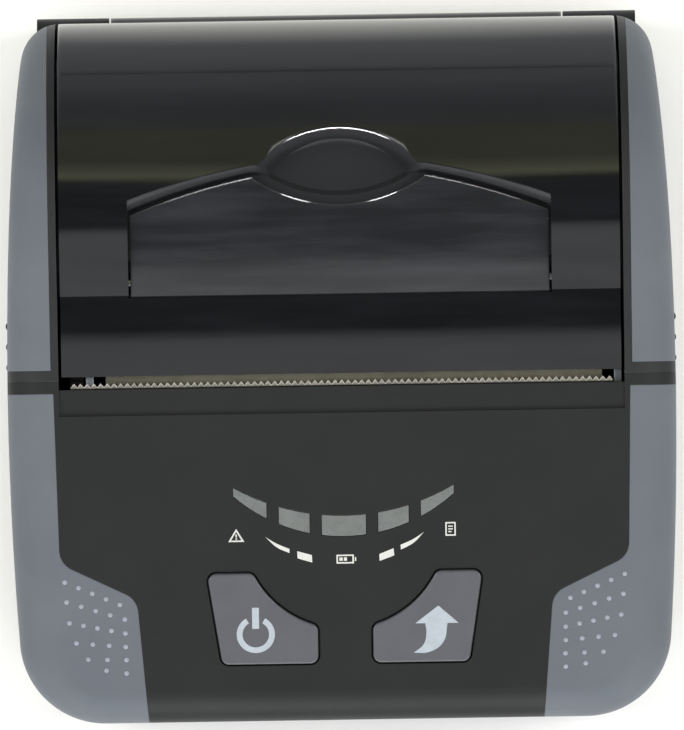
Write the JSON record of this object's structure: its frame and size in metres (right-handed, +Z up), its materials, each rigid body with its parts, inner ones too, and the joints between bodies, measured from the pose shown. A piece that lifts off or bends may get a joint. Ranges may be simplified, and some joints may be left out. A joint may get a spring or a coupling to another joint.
{
  "type": "portable receipt printer",
  "caption": "Portable thermal receipt printer with a domed roll cover, a lift lever, a toothed tear slot and a sloping front panel with two buttons and status windows.",
  "frame": {"origin": "centre of the underside's bounding rectangle, on the surface that the printer lies on", "axes": "+Z up, +Y towards the hinge at the rear, +X to the right seen from the front; the front panel faces up and forward"},
  "size_m": [0.1106, 0.116, 0.058],
  "materials": {
    "black_abs": "fine spark-eroded moulded ABS",
    "panel_abs": "matte moulded ABS front panel",
    "blue_grey": "soft-touch painted ABS",
    "smoked_cover": "polished black polycarbonate",
    "dark_acetal": "dark acetal moulding",
    "white_acetal": "natural acetal gear",
    "steel": "ground steel",
    "spring_steel": "spring wire",
    "zinc_steel": "zinc-plated pressed steel",
    "blade_steel": "stamped stainless steel",
    "platen_rubber": "ground silicone rubber",
    "ceramic": "glazed alumina",
    "aluminium": "extruded aluminium",
    "button_abs": "painted button cap",
    "lens_pc": "diffusing polycarbonate",
    "board": "solder-masked laminate",
    "battery_wrap": "moulded battery case",
    "screw_steel": "black zinc screws",
    "cable_film": "polyimide flat cable",
    "led_white": "moulded LED package"
  },
  "bodies": {
    "printer_body": {"base_shell": "black_abs", "front_housing": "panel_abs", "front_grip_right": "blue_grey", "front_grip_left": "blue_grey", "rear_cheek_right": "blue_grey", "rear_cheek_left": "blue_grey", "rear_frame": "black_abs", "hinge_pin": "steel", "idler_pin": "steel", "feed_motor": "zinc_steel", "mechanism_plate_left": "zinc_steel", "mechanism_plate_right": "zinc_steel", "head_bridge": "zinc_steel", "paper_guide": "dark_acetal", "side_frame_right": "black_abs", "side_frame_left": "black_abs", "tear_blade": "blade_steel", "button_switches": "dark_acetal", "status_leds": "led_white", "main_board": "board", "battery_pack": "battery_wrap", "port_board": "board", "usb_socket": "steel", "charge_jack": "dark_acetal", "case_screws": "screw_steel", "board_screws": "screw_steel", "mechanism_screws": "screw_steel", "head_cable": "cable_film", "cable_socket": "white_acetal", "status_lens_1": "lens_pc", "status_lens_2": "lens_pc", "status_lens_3": "lens_pc", "status_lens_4": "lens_pc", "status_lens_5": "lens_pc"},
    "paper_cover": {"paper_cover": "smoked_cover", "platen_holder": "dark_acetal", "platen_bushes": "dark_acetal", "lever_springs": "spring_steel"},
    "opening_lever": {"opening_lever": "smoked_cover", "lever_shaft": "steel", "release_cams": "dark_acetal"},
    "platen": {"platen_roller": "platen_rubber", "platen_shaft": "steel", "platen_gear": "white_acetal"},
    "idler": {"idler_gear": "white_acetal"},
    "motor_rotor": {"motor_pinion": "white_acetal"},
    "print_head": {"print_head": "ceramic", "head_heat_sink": "aluminium", "head_springs": "spring_steel"},
    "power_button": {"power_button": "button_abs"},
    "feed_button": {"feed_button": "button_abs"},
    "battery_door": {"battery_door": "black_abs"}
  },
  "joints": [
    {"name": "cover_hinge", "type": "hinge", "parent": "printer_body", "child": "paper_cover", "pos_m": [0, 0.055, 0.02], "axis": [-1, 0, 0], "range_deg": [0, 100]},
    {"name": "lever_lift", "type": "hinge", "parent": "paper_cover", "child": "opening_lever", "pos_m": [0, 0.014, 0.0508], "axis": [1, 0, 0], "range_deg": [0, 25], "stiffness_Nm_per_rad": 0.03, "springref_deg": -5.73},
    {"name": "platen_spin", "type": "hinge", "parent": "paper_cover", "child": "platen", "pos_m": [0, 0.001, 0.04402], "axis": [1, 0, 0], "continuous": true},
    {"name": "idler_spin", "type": "hinge", "parent": "printer_body", "child": "idler", "pos_m": [0, -0.00659, 0.03433], "axis": [1, 0, 0], "continuous": true},
    {"name": "motor_spin", "type": "hinge", "parent": "printer_body", "child": "motor_rotor", "pos_m": [0, -0.0105, 0.02452], "axis": [1, 0, 0], "continuous": true},
    {"name": "head_rock", "type": "hinge", "parent": "printer_body", "child": "print_head", "pos_m": [0, -0.00585, 0.03702], "axis": [1, 0, 0], "range_deg": [0, 2], "stiffness_Nm_per_rad": 0.3, "springref_deg": -5.73},
    {"name": "power_press", "type": "slide", "parent": "printer_body", "child": "power_button", "axis": [0, 0.225, -0.9744], "range_m": [0, 0.0005], "stiffness_N_per_m": 1500, "springref_m": -0.0003},
    {"name": "feed_press", "type": "slide", "parent": "printer_body", "child": "feed_button", "axis": [0, 0.225, -0.9744], "range_m": [0, 0.0005], "stiffness_N_per_m": 1500, "springref_m": -0.0003},
    {"name": "door_slide", "type": "slide", "parent": "printer_body", "child": "battery_door", "axis": [0, -1, 0], "range_m": [0, 0.008]}
  ],
  "couplings": [
    {"joint": "idler_spin", "follows": "platen_spin", "ratio": -0.63333},
    {"joint": "motor_spin", "follows": "platen_spin", "ratio": 1.5833}
  ]
}
